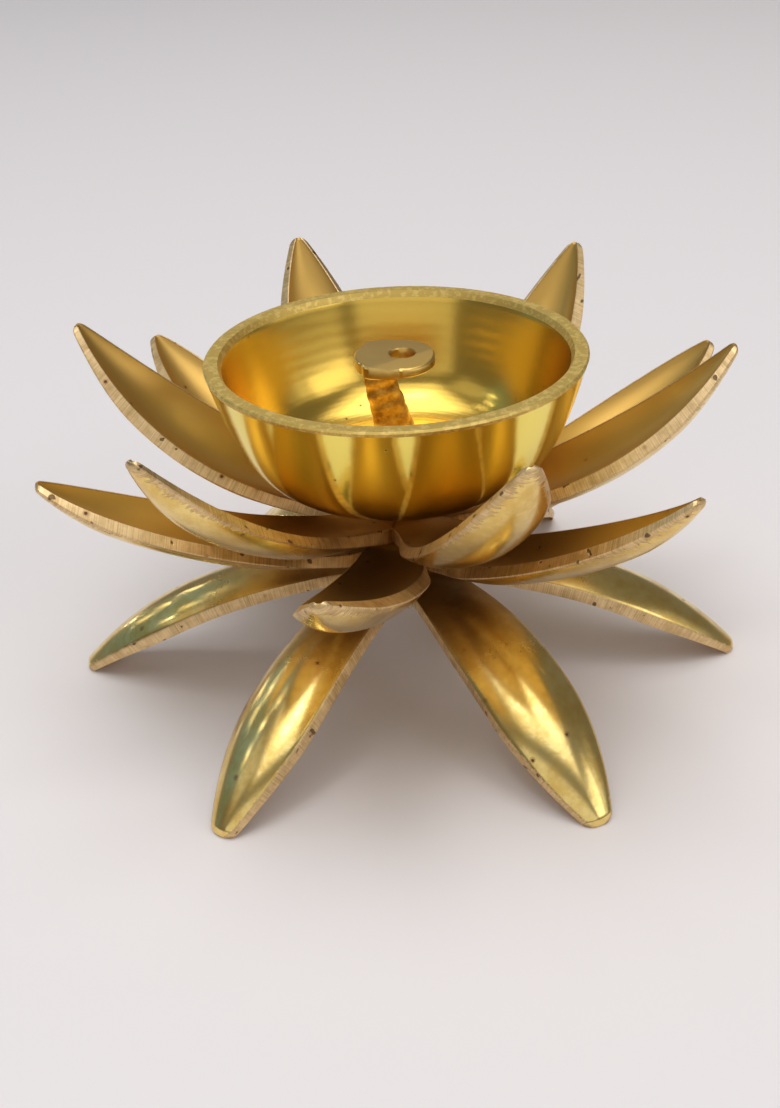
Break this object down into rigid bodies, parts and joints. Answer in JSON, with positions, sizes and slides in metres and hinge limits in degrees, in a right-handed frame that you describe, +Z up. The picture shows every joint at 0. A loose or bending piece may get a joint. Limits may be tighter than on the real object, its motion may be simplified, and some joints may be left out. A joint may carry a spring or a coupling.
{
  "type": "lotus oil lamp",
  "caption": "Brass lotus oil lamp: a round oil bowl with a standing wick holder on stacked rings of boat-shaped petals, the lowest ring bent down as feet.",
  "frame": {"origin": "on the table, at the middle of the footprint, under the stud", "axes": "+Z up along the stud; -Y towards the front of the picture, +X to its right"},
  "size_m": [0.1679, 0.17, 0.0892],
  "materials": {
    "bowl_brass": "polished",
    "petal_brass": "satin inside, ground edges",
    "wick_brass": "as cast",
    "spacer_brass": "turned",
    "plated_steel": "zinc plated"
  },
  "bodies": {
    "legs": {"lower_petal_ring": "petal_brass", "lower_spacer": "spacer_brass", "upper_spacer": "spacer_brass"},
    "cup": {"bowl": "bowl_brass", "wick_holder": "wick_brass", "bowl_collar": "spacer_brass", "centre_stud": "plated_steel", "flat_washer": "plated_steel", "spring_washer": "plated_steel", "hex_nut": "plated_steel"},
    "upper_petals": {"upper_petal_ring": "petal_brass"},
    "middle_petals": {"middle_petal_ring": "petal_brass"}
  },
  "joints": [
    {"name": "cup_turn", "type": "hinge", "parent": "legs", "child": "cup", "pos_m": [0, 0, 0.05], "axis": [0, 0, 1], "continuous": true},
    {"name": "upper_petals_turn", "type": "hinge", "parent": "legs", "child": "upper_petals", "pos_m": [0, 0, 0.042], "axis": [0, 0, 1], "continuous": true},
    {"name": "middle_petals_turn", "type": "hinge", "parent": "legs", "child": "middle_petals", "pos_m": [0, 0, 0.035], "axis": [0, 0, 1], "continuous": true}
  ]
}
